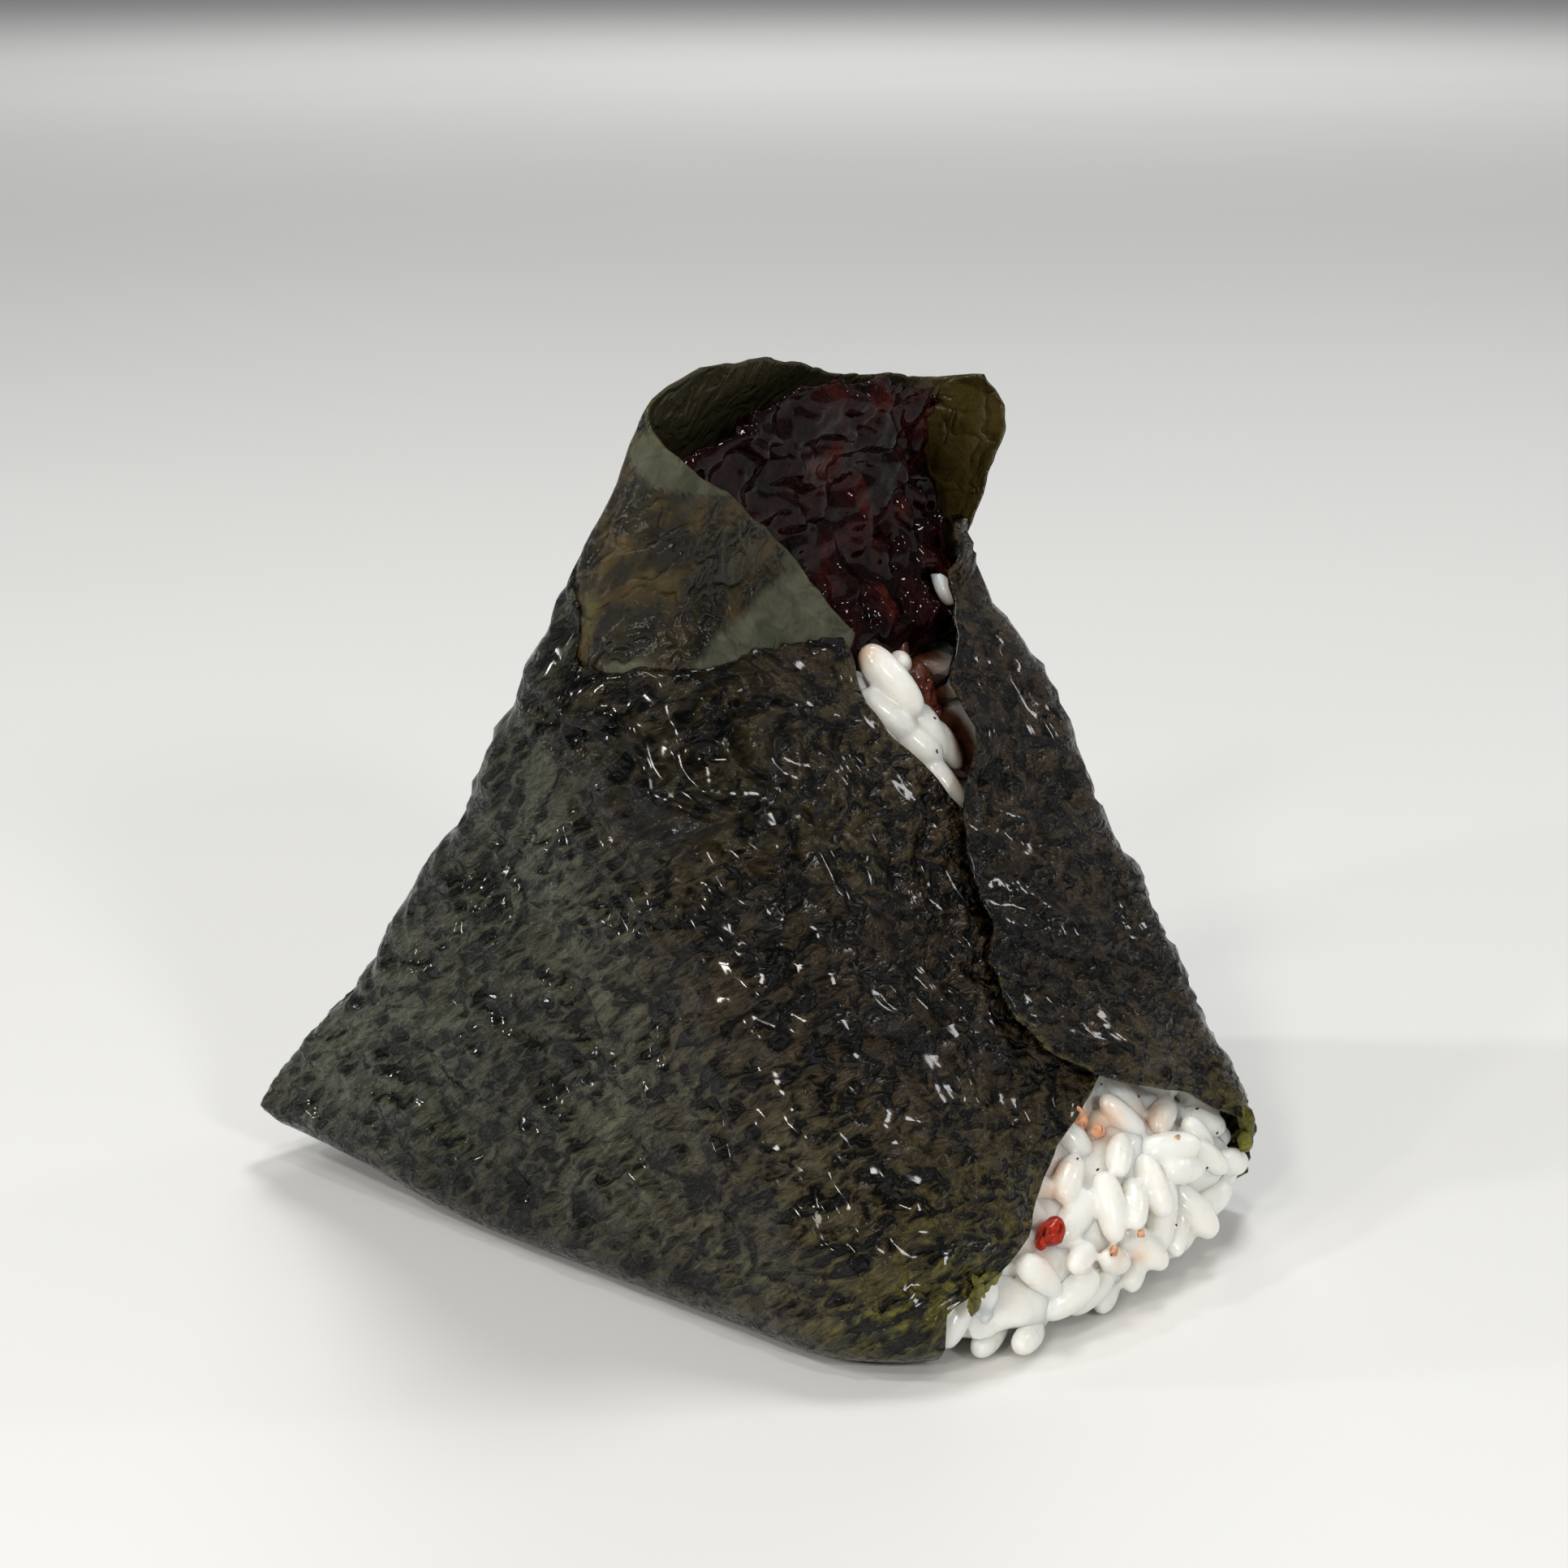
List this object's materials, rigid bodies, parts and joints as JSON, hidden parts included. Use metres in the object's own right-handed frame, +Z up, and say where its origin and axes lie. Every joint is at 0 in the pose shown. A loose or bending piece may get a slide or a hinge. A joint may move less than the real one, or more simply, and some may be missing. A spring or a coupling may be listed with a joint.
{
  "type": "onigiri rice ball",
  "caption": "Three-sided rice ball wrapped in seaweed sheets, open along one slope where rice and a glossy dark filling show.",
  "frame": {"origin": "middle of the footprint, on the flat underside that rests on the table", "axes": "+X along the two large faces towards the open slope, +Y from the front face with the slanting collar edge to the back face, +Z up"},
  "size_m": [0.0914, 0.0582, 0.0859],
  "materials": {
    "rice": "moist, slightly translucent warm white",
    "filling": "wet glossy dark wine red",
    "nori_main": "damp crinkled near-black green",
    "nori_collar": "dry smooth dark olive"
  },
  "bodies": {
    "root": {"rice": "rice", "filling": "filling", "nori_main": "nori_main", "nori_collar": "nori_collar"}
  },
  "joints": []
}
